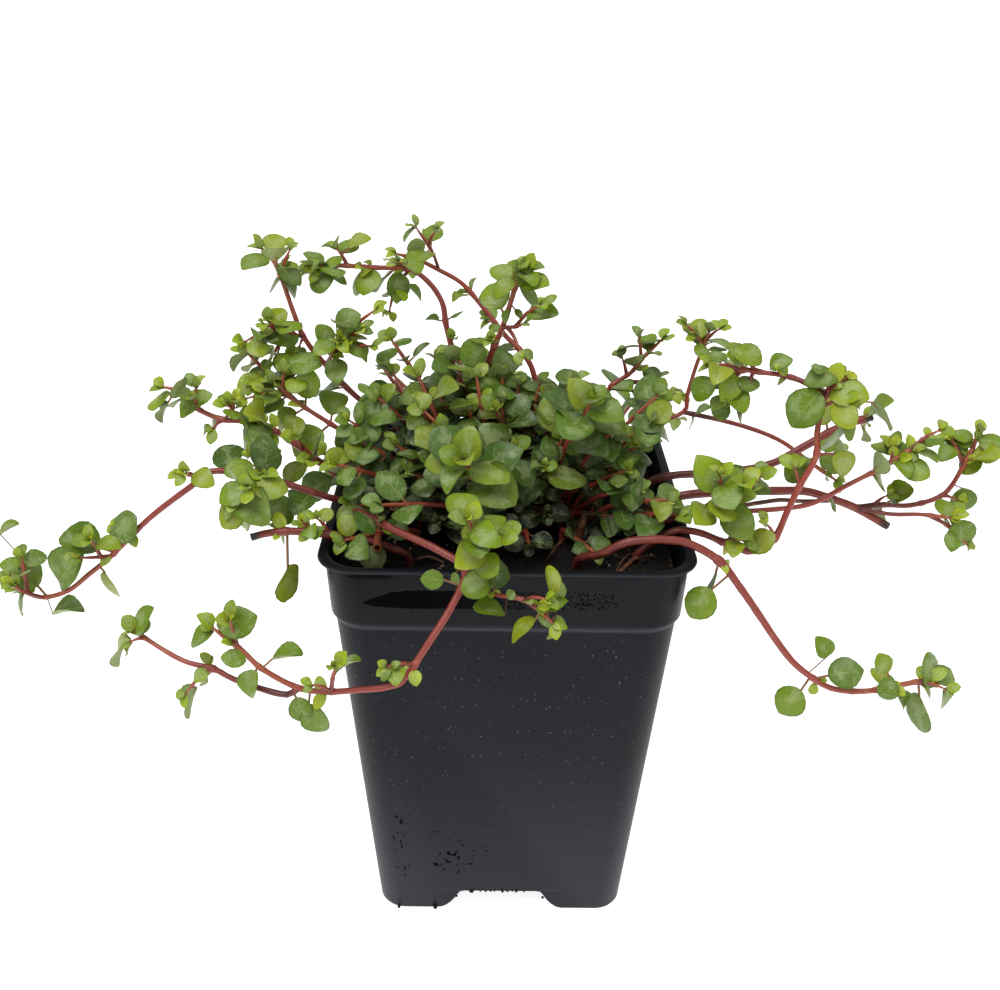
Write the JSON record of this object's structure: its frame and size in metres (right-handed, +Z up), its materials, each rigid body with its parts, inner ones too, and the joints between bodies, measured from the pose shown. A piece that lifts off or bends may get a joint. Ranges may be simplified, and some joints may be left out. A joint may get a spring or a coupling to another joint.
{
  "type": "potted blue angel pilea",
  "caption": "Square tapered nursery pot of dark plastic filled with soil, with a low clump of small round-leaved trailing stems that spread over its rim.",
  "frame": {"origin": "middle of the pot's footprint, on the surface that it stands on", "axes": "+Z up, front of the plant towards -Y, the longest trailing stems along X"},
  "size_m": [0.2886, 0.1643, 0.2015],
  "materials": {
    "pot_plastic": "satin",
    "soil": "rough",
    "leaf": "satin",
    "stem": "satin"
  },
  "bodies": {
    "root": {"pot": "pot_plastic", "soil": "soil", "clump_bush_01": "leaf", "clump_bush_02": "leaf", "clump_bush_03": "leaf", "clump_bush_04": "leaf", "clump_bush_05": "leaf", "clump_bush_06": "leaf", "clump_bush_07": "leaf", "clump_bush_08": "leaf", "clump_bush_09": "leaf", "spray_arch": "leaf", "spray_back_arch": "leaf", "spray_back_left": "leaf", "spray_back_middle": "leaf", "spray_back_right": "leaf", "spray_far_left": "leaf", "spray_far_right": "leaf", "spray_left": "leaf", "spray_left_crest": "leaf", "spray_over_corner": "leaf", "spray_over_rim": "leaf", "spray_right_back": "leaf", "spray_right_crest": "leaf", "spray_right_low": "leaf", "spray_riser": "leaf", "spray_top_left": "leaf", "spray_top_middle": "leaf", "stem_cut_left": "leaf", "stem_cut_right": "leaf"}
  },
  "joints": []
}
